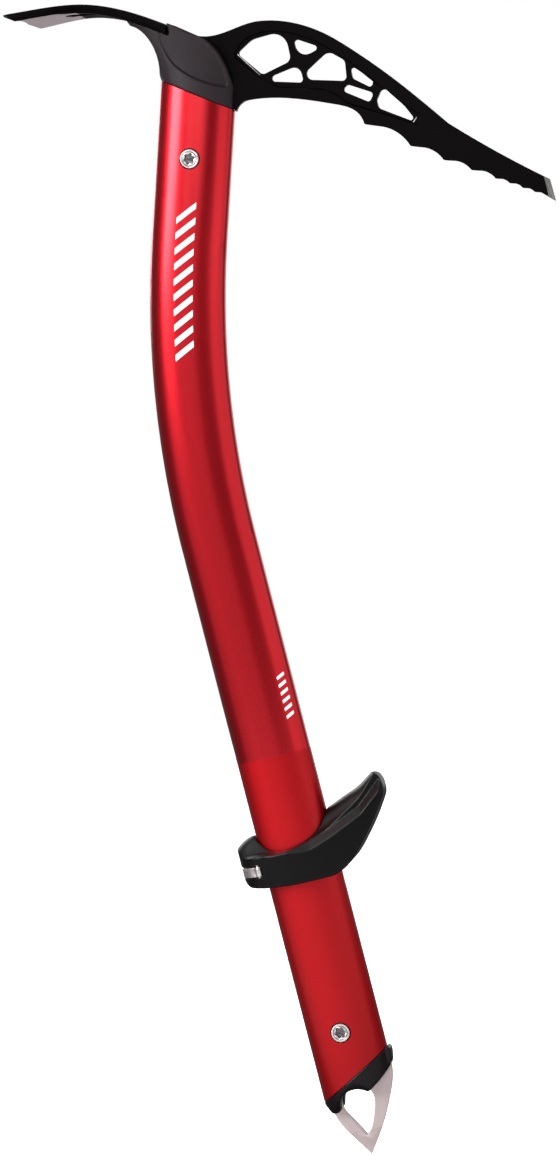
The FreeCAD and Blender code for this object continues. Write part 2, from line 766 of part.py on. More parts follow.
def build_handrest_body():
    body = new_body("handrest_body")
    crest = new_sketch(body, "rest_crest", "XZ_Plane")
    outline(crest, CREST[0], [("curve", CREST[1:-1], CREST[-1])])
    crest.Visibility = False
    back, top = CREST[0]
    section = new_sketch(body, "rest_section", "YZ_Plane", Placement(Vector(0, 0, back), Rotation()))
    outline(section, (-17.0, top - 8.4), [
        ("line", (-11.0, top - 7.6)),
        ("curve", [(-7.0, top - 4.6), (-3.6, top - 1.2), (0, top), (3.6, top - 1.2), (7.0, top - 4.6)],
         (11.0, top - 7.6)),
        ("line", (17.0, top - 8.4)),
        ("line", (17.0, top - 48.0)),
        ("line", (-17.0, top - 48.0)),
        ("line", (-17.0, top - 8.4)),
    ])
    blank = sweep(body, "Additive", "rest_blank", section, crest)
    blank.Mode = "Fixed"
    side_view = new_sketch(body, "rest_side_view", "XZ_Plane")
    frame_around(side_view, (-60, 40), (90, 170))
    bottom = SIZES["rest_bottom"]
    outline(side_view, (-20.4, bottom + 1.8), [
        ("curve", [(-12.0, bottom + 0.7)], (2.0, bottom)),
        ("line", (14.0, bottom)),
        ("curve", [(21.6, 104.6), (28.8, 111.4), (36.0, 120.0)], (41.3, 127.6)),
        ("curve", [(43.2, 131.6)], (42.9, 136.0)),
        ("arc", (41.7, 138.5), (38.6, 139.7)),
        ("line", (-26.0, 139.7)),
        ("line", (-26.0, 120.0)),
        ("line", (-25.6, 109.4)),
        ("curve", [(-24.9, 106.8), (-23.4, 104.8)], (-20.4, bottom + 1.8)),
    ])
    pocket(body, side_view, "rest_side_trim")
    plan = new_sketch(body, "rest_plan", "XY_Plane", Placement(Vector(0, 0, 110), Rotation()))
    frame_around(plan, (-60, -50), (90, 50))
    near = [(-4.0, -15.4), (6.0, -15.3), (16.0, -14.0), (26.0, -12.2), (36.0, -9.8), (41.6, -8.0)]
    far = [(x, -y) for x, y in reversed(near)]
    outline(plan, back_point(-90, REST_BACK_RADIUS), [
        ("curve", near[:-1], near[-1]),
        ("arc", (43.8, 0), far[0]),
        ("curve", far[1:], back_point(90, REST_BACK_RADIUS)),
        ("arc", back_point(180, REST_BACK_RADIUS), back_point(-90, REST_BACK_RADIUS)),
    ])
    pocket(body, plan, "rest_plan_trim")
    hole = new_sketch(body, "rest_shaft_hole", "XY_Plane")
    oval(hole, "-Sizes.running_gap")
    pocket(body, hole, "rest_shaft_cut")
    lever_level = Placement(Vector(0, 0, SIZES["lever_base"] - 0.25), Rotation())
    groove = new_sketch(body, "lever_groove", "XY_Plane", lever_level)
    outline(groove, back_point(-120, 12.4), [
        ("arc", back_point(180, 12.4), back_point(118, 12.4)),
        ("line", back_point(118, 18.0)),
        ("arc", back_point(180, 18.0), back_point(-102, 18.0)),
        ("line", (KNUCKLE[0] + 1.75, KNUCKLE[1] - 0.25)),
        ("arc", (KNUCKLE[0] + 0.74, KNUCKLE[1] + 1.6), back_point(-120, 12.4)),
    ])
    pocket(body, groove, "lever_groove_cut", "Sizes.lever_height + 0.5", reversed_way=True)
    pin_foot = Placement(Vector(0, 0, SIZES["lever_base"] - 3.1), Rotation())
    pin_hole = new_sketch(body, "rest_pin_hole", "XY_Plane", pin_foot)
    pin_hole.addGeometry(Part.Circle(flat(KNUCKLE), Vector(0, 0, 1), 0.62))
    pocket(body, pin_hole, "rest_pin_cut", "Sizes.lever_height + 6.2", reversed_way=True)
    window = new_sketch(body, "pad_window", "YZ_Plane", Placement(Vector(0, 0, -30), Rotation()))
    low, high = SIZES["lever_base"] - 0.25, SIZES["lever_base"] + SIZES["lever_height"] + 0.25
    corners = [(4.8, low), (4.8, high), (-4.8, high), (-4.8, low)]
    outline(window, corners[-1], lines(corners))
    pocket(body, window, "pad_window_cut", "20", reversed_way=True)
    return body


def build_handrest_lever():
    body = new_body("handrest_lever")
    level = Placement(Vector(0, 0, SIZES["lever_base"]), Rotation())
    outer, inner = REST_BACK_RADIUS - 0.05, REST_BACK_RADIUS - 0.05 - SIZES["lever_thickness"]
    band = new_sketch(body, "lever_band", "XY_Plane", level)
    outline(band, back_point(-112, outer), [
        ("arc", back_point(180, outer), back_point(124, outer)),
        ("line", back_point(121, outer + 1.6)),
        ("line", back_point(118.5, outer + 1.4)),
        ("line", back_point(121, inner)),
        ("arc", back_point(180, inner), back_point(-112, inner)),
        ("line", back_point(-112, outer)),
    ])
    pad(body, band, "lever_strip", "Sizes.lever_height", both_sides=False)
    knuckle = new_sketch(body, "lever_knuckle", "XY_Plane", level)
    knuckle.addGeometry(Part.Circle(flat(KNUCKLE), Vector(0, 0, 1), 1.35))
    pad(body, knuckle, "lever_knuckle_pad", "Sizes.lever_height", both_sides=False)
    eye = new_sketch(body, "lever_eye", "XY_Plane")
    eye.addGeometry(Part.Circle(flat(KNUCKLE), Vector(0, 0, 1), 0.65))
    pocket(body, eye, "lever_eye_cut")
    return body


def build_handrest_hinge_pin():
    body = new_body("handrest_hinge_pin")
    foot = SIZES["lever_base"] - 2.9
    section = new_sketch(body, "pin_section", "XY_Plane", Placement(Vector(0, 0, foot), Rotation()))
    circle(section, KNUCKLE, "pin_diameter")
    pad(body, section, "pin_pad", "Sizes.lever_height + 5.8", both_sides=False)
    return body


def build_handrest_spring():
    body = new_body("handrest_spring")
    level = Placement(Vector(0, 0, SIZES["lever_base"] + 0.4), Rotation())
    bow = new_sketch(body, "spring_bow", "XY_Plane", level)
    outline(bow, (-20.55, -4.4), [
        ("arc", (-23.95, 0), (-20.55, 4.4)),
        ("line", (-20.15, 4.1)),
        ("arc", (-23.45, 0), (-20.15, -4.1)),
        ("line", (-20.55, -4.4)),
    ])
    pad(body, bow, "spring_strip", "Sizes.lever_height - 0.8", both_sides=False)
    return body


def build_handrest_brake_pad():
    body = new_body("handrest_brake_pad")
    level = Placement(Vector(0, 0, SIZES["lever_base"] + 0.1), Rotation())
    block = new_sketch(body, "pad_block", "XY_Plane", level)
    corners = [(-14.6, -4.6), (-14.6, 4.6), (-19.9, 4.6), (-19.9, -4.6)]
    outline(block, corners[-1], lines(corners))
    pad(body, block, "pad_body", "Sizes.pad_height", both_sides=False)
    face = new_sketch(body, "pad_face", "XY_Plane")
    oval(face, "-Sizes.running_gap")
    pocket(body, face, "pad_face_cut")
    return body


# ---------------------------------------------------------------- build, check and export


def build_all():
    bodies = [
        build_shaft_tube(),
        build_head_forging(),
        build_adze_blade(),
        build_head_cover("head_cover_near", -1),
        build_head_cover("head_cover_far", 1),
        build_tang_sleeve(),
        build_spike_blade(),
        build_spike_ferrule(),
        build_spike_sleeve(),
        build_foam_plug("upper_foam_plug", across_neck(-0.5), "6"),
        build_foam_plug("lower_foam_plug", Placement(Vector(0, 0, 61.4), Rotation()), "12"),
        build_handrest_body(),
        build_handrest_lever(),
        build_handrest_hinge_pin(),
        build_handrest_spring(),
        build_handrest_brake_pad(),
    ]
    for place, centre in (("upper", neck_point(UPPER_BOLT)), ("lower", (0, LOWER_BOLT))):
        bodies.append(build_bolt(f"{place}_barrel_nut", centre, -1, "barrel_diameter", "16.5", True))
        bodies.append(build_bolt(f"{place}_screw", centre, 1, "screw_diameter", "13", False))
    return bodies


bodies = build_all()
doc.recompute()
for item in doc.Objects:
    if "Invalid" in item.State or "Error" in item.State:
        raise RuntimeError(f"{item.Label}: {item.State}")
for body in bodies:
    if body.Shape.isNull() or not body.Shape.isValid() or body.Shape.Volume <= 0:
        raise RuntimeError(f"{body.Label} has no good shape")
    body.Shape.exportStep(f"parts/{body.Label}.step")
    print(body.Label, len(body.Shape.Solids), round(body.Shape.Volume, 1))
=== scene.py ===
import math

import bmesh
import bpy
from mathutils import Matrix, Vector


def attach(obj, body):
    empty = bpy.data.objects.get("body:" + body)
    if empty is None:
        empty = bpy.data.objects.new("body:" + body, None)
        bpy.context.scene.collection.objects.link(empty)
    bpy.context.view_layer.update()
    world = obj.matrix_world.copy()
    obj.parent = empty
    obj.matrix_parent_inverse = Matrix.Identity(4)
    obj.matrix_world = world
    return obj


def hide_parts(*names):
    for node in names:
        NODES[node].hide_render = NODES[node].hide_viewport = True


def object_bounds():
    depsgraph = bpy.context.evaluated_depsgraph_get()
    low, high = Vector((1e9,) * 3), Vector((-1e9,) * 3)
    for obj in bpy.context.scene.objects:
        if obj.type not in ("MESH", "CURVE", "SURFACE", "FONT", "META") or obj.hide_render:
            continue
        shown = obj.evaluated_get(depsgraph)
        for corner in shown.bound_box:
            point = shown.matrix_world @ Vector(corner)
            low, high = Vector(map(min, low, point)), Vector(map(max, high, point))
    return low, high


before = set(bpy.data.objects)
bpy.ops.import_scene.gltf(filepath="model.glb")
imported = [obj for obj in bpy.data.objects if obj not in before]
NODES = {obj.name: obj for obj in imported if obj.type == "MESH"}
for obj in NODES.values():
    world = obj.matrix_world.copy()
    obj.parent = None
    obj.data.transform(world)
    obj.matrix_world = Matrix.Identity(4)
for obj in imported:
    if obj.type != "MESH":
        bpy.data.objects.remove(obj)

CAD_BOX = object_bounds()

# Everything is in metres. The shaft stands along +Z, the pick points to +X, and the near side is -Y.

# ---------------------------------------------------------------- shader building

# Half the width over which a mask fades at its edge, and the part of 0 to 1 that noise usually fills.
SOFT_EDGE = 0.00008
NOISE_RANGE = (0.3, 0.7)


class Finish:
    """A material made of one Principled shader and the procedural nodes that feed it."""

    def __init__(self, name, colour, roughness, metallic=0.0, **uniform):
        self.material = bpy.data.materials.new(name)
        self.material.use_nodes = True
        self.tree = self.material.node_tree
        self.shader = self.tree.nodes["Principled BSDF"]
        self.shader.inputs["Base Color"].default_value = (*colour, 1.0)
        self.shader.inputs["Roughness"].default_value = roughness
        self.shader.inputs["Metallic"].default_value = metallic
        for socket, value in uniform.items():
            self.shader.inputs[socket.replace("_", " ").title().replace("Ior", "IOR")].default_value = value
        self.place = self.node("ShaderNodeTexCoord").outputs["Object"]

    def node(self, kind, links=None, **settings):
        """A node whose inputs are linked where a socket is given, and set where a value is."""
        made = self.tree.nodes.new(kind)
        for key, value in settings.items():
            setattr(made, key, value)
        for socket, source in (links or {}).items():
            if isinstance(source, bpy.types.NodeSocket):
                self.tree.links.new(source, made.inputs[socket])
            else:
                made.inputs[socket].default_value = source
        return made

    def maths(self, operation, *values):
        """The result of one operation on sockets or numbers."""
        return self.node("ShaderNodeMath", dict(enumerate(values)), operation=operation).outputs[0]

    def ramp(self, value, start, end, first=0.0, last=1.0):
        """Goes from first to last as the value goes from start to end, and stays there beyond them."""
        links = {"Value": value, "From Min": start, "From Max": end, "To Min": first, "To Max": last}
        return self.node("ShaderNodeMapRange", links).outputs[0]

    def within(self, value, low, high, soft=SOFT_EDGE):
        """1 where the value lies between low and high, with a short soft edge."""
        rise = self.ramp(value, low - soft, low + soft)
        fall = self.ramp(value, high + soft, high - soft)
        return self.maths("MULTIPLY", rise, fall)

    def axes(self):
        """The X, Y and Z of the point that is shaded."""
        return self.node("ShaderNodeSeparateXYZ", {0: self.place}).outputs

    def noise(self, scale, stretch=(1.0, 1.0, 1.0), detail=3.0, rough=0.55):
        """Noise of that many cells per metre, stretched along the axes."""
        place = self.node("ShaderNodeMapping", {"Vector": self.place, "Scale": stretch}).outputs[0]
        made = self.node("ShaderNodeTexNoise", {"Vector": place, "Scale": scale, "Detail": detail,
                                                "Roughness": rough})
        return made.outputs[0]

    def span(self, value, low, high):
        """The usual values of a noise spread between two numbers."""
        return self.ramp(value, *NOISE_RANGE, low, high)

    def blend(self, share, first, second):
        """The first colour where the share is 0, the second where it is 1."""
        mix = self.tree.nodes.new("ShaderNodeMix")
        mix.data_type = "RGBA"
        for socket, source in zip((0, 6, 7), (share, first, second)):
            if isinstance(source, bpy.types.NodeSocket):
                self.tree.links.new(source, mix.inputs[socket])
            else:
                mix.inputs[socket].default_value = source
        return mix.outputs[2]

    def feed(self, socket, source):
        """Drives a socket of the Principled shader."""
        self.tree.links.new(source, self.shader.inputs[socket])

    def bump(self, height, strength, distance):
        """Fine relief on the surface."""
        links = {"Height": height, "Strength": strength, "Distance": distance}
        self.feed("Normal", self.node("ShaderNodeBump", links).outputs[0])


def shade(colour, factor):
    """A colour made lighter or darker."""
    return (*[channel * factor for channel in colour], 1.0)


# ---------------------------------------------------------------- the shaft's own coordinates

BEND_CENTRE = (0.410, 0.250)
BEND_RADIUS = 0.410
BEND = math.radians(18.2)
HALF_DEPTH = 0.0163
HALF_WIDTH = 0.0103
BOLT_CENTRES = [(0.03078, 0.40931), (0.0, 0.0352)]
GRIP_TOP = 0.1564
GRIP_FADE = 0.0006

# Each row of bars: its middle across the shaft and half its width, where it starts and ends along the
# shaft, the distance from bar to bar, and the share of it that is printed. Only points with a lower Y
# than PRINTED_SIDE are printed.
LARGE_BARS = {
    "middle": 0.0,
    "half_width": 0.0040,
    "low": 0.329,
    "high": 0.389,
    "pitch": 0.0062,
    "share": 0.42,
}
SMALL_BARS = {
    "middle": 0.0126,
    "half_width": 0.0015,
    "low": 0.164,
    "high": 0.185,
    "pitch": 0.0034,
    "share": 0.4,
}
BAR_SLANT = -0.5
BAR_SOFTNESS = 0.02
PRINTED_SIDE = -0.002


def shaft_across(finish):
    """Distance across the shaft from its bent centre line, towards the pick."""
    x, _, z = finish.axes()
    dx = finish.maths("SUBTRACT", BEND_CENTRE[0], x)
    dz = finish.maths("MAXIMUM", finish.maths("SUBTRACT", z, BEND_CENTRE[1]), 0.0)
    angle = finish.maths("MINIMUM", finish.maths("ARCTAN2", dz, dx), BEND)
    out = finish.maths("MULTIPLY", dx, finish.maths("COSINE", angle))
    up = finish.maths("MULTIPLY", dz, finish.maths("SINE", angle))
    return finish.maths("SUBTRACT", BEND_RADIUS, finish.maths("ADD", out, up))


def bars(finish, across, middle, half_width, low, high, pitch, share):
    """A row of short slanted bars along the shaft, on the near side only."""
    _, y, z = finish.axes()
    lean = finish.maths("ADD", z, finish.maths("MULTIPLY", across, BAR_SLANT))
    cell = finish.maths("FRACT", finish.maths("DIVIDE", finish.maths("SUBTRACT", lean, low), pitch))
    mask = finish.within(cell, 0.5 - share / 2, 0.5 + share / 2, BAR_SOFTNESS)
    mask = finish.maths("MULTIPLY", mask, finish.within(across, middle - half_width, middle + half_width))
    mask = finish.maths("MULTIPLY", mask, finish.within(lean, low, high))
    near = finish.maths("LESS_THAN", y, PRINTED_SIDE)
    return finish.maths("MULTIPLY", mask, near)


RED = (0.60, 0.0080, 0.0170)
GRIP_RED = (0.54, 0.0075, 0.0120)
PRINT_WHITE = (0.86, 0.86, 0.86, 1.0)


def anodised_shaft():
    """Brushed above the grip's upper end, matt blasted below it, with two printed rows of plain bars."""
    finish = Finish("anodised_red", RED, 0.3, metallic=1.0, coat_roughness=0.2)
    _, _, z = finish.axes()
    across = shaft_across(finish)
    grip = finish.ramp(z, GRIP_TOP + GRIP_FADE, GRIP_TOP - GRIP_FADE)
    streaks = finish.noise(1500.0, (1.0, 1.0, 0.012), detail=4.0)
    grain = finish.noise(4200.0, detail=2.0)
    cloud = finish.noise(22.0, (1.0, 1.0, 0.35))
    brushed = finish.blend(finish.span(streaks, 0.0, 1.0), shade(RED, 0.975), shade(RED, 1.02))
    matt = finish.blend(finish.span(grain, 0.0, 1.0), shade(GRIP_RED, 0.92), shade(GRIP_RED, 1.06))
    base = finish.blend(grip, brushed, matt)
    large = bars(finish, across, **LARGE_BARS)
    small = bars(finish, across, **SMALL_BARS)
    printed = finish.maths("MAXIMUM", large, small)
    finish.feed("Base Color", finish.blend(printed, base, PRINT_WHITE))
    satin = finish.maths("ADD", finish.span(streaks, -0.012, 0.012), finish.span(cloud, 0.27, 0.30))
    rough = finish.maths("ADD", satin, finish.maths("MULTIPLY", grip, 0.18))
    finish.feed("Roughness", finish.maths("ADD", rough, finish.maths("MULTIPLY", printed, 0.2)))
    finish.feed("Metallic", finish.maths("SUBTRACT", 1.0, printed))
    finish.feed("Coat Weight", finish.maths("SUBTRACT", 0.4, finish.maths("MULTIPLY", grip, 0.15)))
    height = finish.maths("ADD", finish.maths("MULTIPLY", streaks, finish.maths("SUBTRACT", 1.0, grip)),
                          finish.maths("MULTIPLY", grain, finish.maths("MULTIPLY", grip, 2.0)))
    finish.bump(height, 0.01, 0.0001)
    return finish.material


# Where each painted highlight line starts on the pick, towards its point and upwards, its angle in degrees
# and its length. The lines are on the sides of the pick, which are farther out than SIDES_FROM.
HIGHLIGHT_LINES = [(0.0602, 0.4468, -57.0, 0.0130), (0.1250, 0.4002, 42.0, 0.0026)]
HIGHLIGHT_HALF_WIDTH = 0.0002
# How bright the painted highlight is at the start and at the end of each line.
HIGHLIGHT_FADE = (1.0, 0.15)
# Colour of the painted highlight, a light steel grey.
HIGHLIGHT_GREY = (0.44, 0.43, 0.44, 1.0)
SIDES_FROM = 0.0011


def painted_highlight_lines(finish):
    """Painted highlight on the pick: a thin light line beside each of two windows, fading along it."""
    x, y, z = finish.axes()
    shares = []
    for start_x, start_z, angle, length in HIGHLIGHT_LINES:
        cosine, sine = math.cos(math.radians(angle)), math.sin(math.radians(angle))
        dx = finish.maths("SUBTRACT", x, start_x)
        dz = finish.maths("SUBTRACT", z, start_z)
        along = finish.maths("ADD", finish.maths("MULTIPLY", dx, cosine),
                             finish.maths("MULTIPLY", dz, sine))
        off = finish.maths("SUBTRACT", finish.maths("MULTIPLY", dz, cosine),
                           finish.maths("MULTIPLY", dx, sine))
        line = finish.maths("MULTIPLY", finish.within(along, 0.0, length),
                            finish.within(off, -HIGHLIGHT_HALF_WIDTH, HIGHLIGHT_HALF_WIDTH))
        fade = finish.ramp(along, 0.0, length, *HIGHLIGHT_FADE)
        shares.append(finish.maths("MULTIPLY", line, fade))
    on_sides = finish.maths("GREATER_THAN", finish.maths("ABSOLUTE", y), SIDES_FROM)
    return finish.maths("MULTIPLY", finish.maths("MAXIMUM", *shares), on_sides)


def speckled(name, colour, roughness, grain, depth, metallic=0.0, variation=0.12, painted_highlights=None, **uniform):
    """A finish with fine grain in its colour, roughness and relief, and with painted highlights if wanted.
    """
    finish = Finish(name, colour, roughness, metallic, **uniform)
    fine = finish.noise(grain, detail=3.0)
    cloud = finish.noise(grain * 0.03, detail=2.0)
    dark, light = shade(colour, 1.0 - variation), shade(colour, 1.0 + variation)
    mottle = finish.maths("ADD", finish.maths("MULTIPLY", fine, 0.6), finish.maths("MULTIPLY", cloud, 0.4))
    mottled = finish.blend(finish.span(mottle, 0.0, 1.0), dark, light)
    # Painted highlight lines laid over the grain, where wanted.
    if painted_highlights is not None:
        mottled = finish.blend(painted_highlights(finish), mottled, HIGHLIGHT_GREY)
    finish.feed("Base Color", mottled)
    finish.feed("Roughness", finish.span(mottle, roughness * 0.9, roughness * 1.12))
    finish.bump(fine, depth, 0.0001)
    return finish.material


BOLT_GROOVE = (0.00285, 0.00315)
GROOVE_SOFTNESS = 0.0001


def turned_bolt():
    """Bright turned steel with a fine groove between rim and raised middle, in relief and with painted
    shade.
    """
    finish = Finish("bolt_stainless", (0.62, 0.58, 0.57), 0.22, metallic=0.75)
    x, _, z = finish.axes()
    radii = []
    for centre_x, centre_z in BOLT_CENTRES:
        across = finish.maths("SUBTRACT", x, centre_x)
        along = finish.maths("SUBTRACT", z, centre_z)
        square = finish.maths("ADD", finish.maths("MULTIPLY", across, across),
                              finish.maths("MULTIPLY", along, along))
        radii.append(finish.maths("SQRT", square))
    radius = finish.maths("MINIMUM", *radii)
    groove_and_shade = finish.within(radius, *BOLT_GROOVE, GROOVE_SOFTNESS)
    grain = finish.noise(3000.0)
    bright = finish.blend(finish.span(grain, 0.0, 1.0), (0.60, 0.56, 0.55, 1.0), (0.70, 0.66, 0.64, 1.0))
    # Painted shade: the groove is coloured dark grey.
    finish.feed("Base Color", finish.blend(groove_and_shade, bright, (0.13, 0.12, 0.12, 1.0)))
    finish.feed("Roughness", finish.span(grain, 0.18, 0.27))
    height = finish.maths("SUBTRACT", finish.maths("MULTIPLY", grain, 0.1), groove_and_shade)
    finish.bump(height, 0.6, 0.0003)
    return finish.material


def ground_steel(name, colour, roughness, lay, metallic=1.0):
    """Steel with the parallel scratches that a grinding wheel leaves along one axis."""
    finish = Finish(name, colour, roughness, metallic)
    scratches = finish.noise(2600.0, lay, detail=4.0, rough=0.7)
    finish.feed("Base Color", finish.blend(finish.span(scratches, 0.0, 1.0), shade(colour, 0.8),
                                           shade(colour, 1.1)))
    finish.feed("Roughness", finish.span(scratches, roughness * 0.8, roughness * 1.25))
    finish.bump(scratches, 0.25, 0.0001)
    return finish.material


FINISHES = {
    "shaft": anodised_shaft(),
    # The forged steel gets painted highlight lines beside two windows of the pick.
    "forged": speckled("black_forged_steel", (0.0010, 0.0005, 0.0006), 0.30, 1500.0, 0.08,
                       painted_highlights=painted_highlight_lines, specular_ior_level=0.035),
    "cover": speckled("cover_plastic", (0.0125, 0.0085, 0.0105), 0.50, 2200.0, 0.25,
                      specular_ior_level=0.18),
    "rest": speckled("rest_plastic", (0.0010, 0.0006, 0.0007), 0.34, 2000.0, 0.15,
                     specular_ior_level=0.17),
    "ferrule": speckled("ferrule_plastic", (0.0028, 0.0014, 0.0018), 0.28, 1800.0, 0.15,
                        specular_ior_level=0.23),
    "blasted": speckled("blasted_stainless", (0.50, 0.42, 0.415), 0.46, 5200.0, 0.3, metallic=0.5,
                        variation=0.08),
    "bolt": turned_bolt(),
    # Painted shade: darker steel for the floors and walls of the bolt sockets.
    "socket_shade": speckled("bolt_socket_shade", (0.20, 0.18, 0.19), 0.25, 3000.0, 0.2, metallic=1.0, variation=0.2),
    # Painted shadow: near black for the sunk ring round each bolt flange.
    "seat_shadow": speckled("flange_seat_shadow", (0.010, 0.005, 0.005), 0.6, 2000.0, 0.2, specular_ior_level=0.15),
    "lever": ground_steel("lever_stainless", (0.92, 0.83, 0.81), 0.34, (0.04, 0.04, 1.0)),
    "ground": ground_steel("ground_edge", (0.23, 0.222, 0.218), 0.38, (1.0, 1.0, 0.05)),
    "bare": ground_steel("bare_adze", (0.35, 0.295, 0.31), 0.42, (0.05, 1.0, 1.0), metallic=0.5),
    "packing": speckled("packing_plastic", (0.24, 0.23, 0.21), 0.55, 900.0, 0.2),
    "foam": speckled("closed_cell_foam", (0.035, 0.035, 0.038), 0.9, 700.0, 0.8, variation=0.35),
    "pad": speckled("pad_rubber", (0.012, 0.012, 0.012), 0.75, 1200.0, 0.4, variation=0.2),
}

# ---------------------------------------------------------------- pieces made from the frame


def working_copy(node, name):
    """A new object with its own copy of a CAD node's mesh, welded, with flat areas joined."""
    mesh = NODES[node].data.copy()
    mesh.materials.clear()
    work = bmesh.new()
    work.from_mesh(mesh)
    bmesh.ops.remove_doubles(work, verts=work.verts, dist=2e-6)
    bmesh.ops.dissolve_limit(work, angle_limit=math.radians(0.4), verts=work.verts, edges=work.edges)
    work.to_mesh(mesh)
    work.free()
    piece = bpy.data.objects.new(name, mesh)
    bpy.context.collection.objects.link(piece)
    return piece


def settle(piece):
    """Applies the modifiers of a piece to its mesh."""
    graph = bpy.context.evaluated_depsgraph_get()
    mesh = bpy.data.meshes.new_from_object(piece.evaluated_get(graph))
    piece.modifiers.clear()
    old, piece.data = piece.data, mesh
    bpy.data.meshes.remove(old)


def smooth(piece, angle=35.0):
    """Shades a piece smoothly, up to its sharp edges."""
    piece.data.shade_smooth()
    piece.data.set_sharp_from_angle(angle=math.radians(angle))


def flat_sides(piece):
    """Shades the large flat sides of a plate as truly flat."""
    mesh = piece.data
    normals = [corner.vector.copy() for corner in mesh.corner_normals]
    for face in mesh.polygons:
        if abs(face.normal.y) > 0.999:
            for loop in face.loop_indices:
                normals[loop] = face.normal.copy()
    mesh.normals_split_custom_set(normals)


def hand_over(piece, node, body, finish):
    """The piece takes a node's place, rides on its body and gets a finish."""
    piece.data.materials.clear()
    piece.data.materials.append(FINISHES[finish])
    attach(piece, body)
    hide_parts(node)


def bare_faces(piece, finish, chosen):
    """Gives the faces that chosen(centre, normal) picks a second finish."""
    piece.data.materials.append(FINISHES[finish])
    for face in piece.data.polygons:
        if chosen(face.center, face.normal):
            face.material_index = 1


SHARP_EDGE = 32.0


def eased(node, name, width, clamp=False):
    """A CAD node with its sharp edges broken by a small bevel, so that they catch the light.

    A clamped bevel is narrowed everywhere to suit the shortest edge beside it.
    """
    piece = working_copy(node, name)
    bevel = piece.modifiers.new("eased_edges", "BEVEL")
    bevel.width = width
    bevel.segments = 2
    bevel.limit_method = "ANGLE"
    bevel.angle_limit = math.radians(SHARP_EDGE)
    bevel.use_clamp_overlap = clamp
    bevel.harden_normals = True
    settle(piece)
    smooth(piece)
    return piece


def relax(piece, passes):
    """Rounds the edges of a finely meshed piece."""
    ease = piece.modifiers.new("round_edges", "SMOOTH")
    ease.factor = 0.5
    ease.iterations = passes
    settle(piece)


def moulded(node, name, voxel, passes, sculpt=None):
    """A CAD node as a moulded part: remeshed finely, sculpted if wanted, with every edge rounded."""
    piece = working_copy(node, name)
    remesh = piece.modifiers.new("skin", "REMESH")
    remesh.mode = "VOXEL"
    remesh.voxel_size = voxel
    settle(piece)
    if sculpt is not None:
        for vertex in piece.data.vertices:
            sculpt(vertex.co)
    relax(piece, passes)
    piece.data.shade_smooth()
    return piece


def shaft_normal(point):
    """Outward normal of the oval shaft at a point, and how far off its surface the point is."""
    dx, dz = BEND_CENTRE[0] - point.x, point.z - BEND_CENTRE[1]
    angle = min(max(math.atan2(dz, dx), 0.0), BEND)
    front = Vector((math.cos(angle), 0.0, -math.sin(angle)))
    across = BEND_RADIUS - (dx * front.x - dz * front.z if dz > 0.0 else dx)
    outward = front * (across / HALF_DEPTH ** 2)
    outward.y = point.y / HALF_WIDTH ** 2
    off = (across / HALF_DEPTH) ** 2 + (point.y / HALF_WIDTH) ** 2 - 1.0
    return outward.normalized(), abs(off)


# The most that the oval's equation may be off by at a point that counts as on the oval.
ON_OVAL = 0.02


def smooth_shaft(piece):
    """Shades the outside of the shaft as the true oval, so that its reflections run straight."""
    mesh = piece.data
    normals = [corner.vector.copy() for corner in mesh.corner_normals]
    for face in mesh.polygons:
        true = [shaft_normal(mesh.vertices[index].co) for index in face.vertices]
        if all(off < ON_OVAL for _, off in true):
            for loop, (outward, _) in zip(face.loop_indices, true):
                normals[loop] = outward
    mesh.normals_split_custom_set(normals)


def beside_bolt(centre, reach):
    """Whether a point is within reach of the axis of one of the two through bolts."""
    return any(math.hypot(centre.x - x, centre.z - z) < reach for x, z in BOLT_CENTRES)


# Reaches from a bolt's axis and from the middle plane, then limits towards the pick and upwards.
SEAT_RADIUS = 0.00445
SEAT_FLOOR = 0.0085
SOCKET_RADIUS = 0.00235
SOCKET_DEPTHS = (0.0075, 0.0105)
PICK_POINT_START = 0.1719
PICK_POINT_TOP = 0.366
BARE_ADZE_END = -0.0025


def is_flange_seat(centre, normal):
    """The sunk ring round each bolt flange, coloured near black as painted shadow."""
    return beside_bolt(centre, SEAT_RADIUS) and abs(centre.y) > SEAT_FLOOR


def is_socket(centre, normal):
    """The floor and walls of the sockets in the bolt heads, darkened there as painted shade."""
    floor, rim = SOCKET_DEPTHS
    return beside_bolt(centre, SOCKET_RADIUS) and floor < abs(centre.y) < rim


def is_pick_point(centre, normal):
    """The two ground flats of the pick point, which lean a little from its sides."""
    leaning = 0.05 < abs(normal.y) < 0.995
    return leaning and centre.x > PICK_POINT_START and centre.z < PICK_POINT_TOP


def is_adze_underside(centre, normal):
    """The bare underside of the adze, from the cutting edge to the first windows."""
    return centre.x < BARE_ADZE_END and normal.z < -0.3


# Upper edge of the hand rest's sides: distance towards the pick, half width, height.
REST_EDGE = [
    (-0.0060, 0.0154, 0.1165),
    (0.0060, 0.0153, 0.1178),
    (0.0160, 0.0140, 0.1209),
    (0.0260, 0.0122, 0.1250),
    (0.0318, 0.0109, 0.1275),
    (0.0360, 0.0098, 0.1309),
    (0.0416, 0.0080, 0.1354),
]
REST_CHAMFER = 0.0034
REST_CHAMFER_RUN = 0.014


def rest_edge(x):
    """Half width and height of the upper edge at a distance towards the pick."""
    for before, after in zip(REST_EDGE, REST_EDGE[1:]):
        if x <= after[0]:
            share = (x - before[0]) / (after[0] - before[0])
            return [low + (high - low) * share for low, high in zip(before[1:], after[1:])]
    return REST_EDGE[-1][1:]


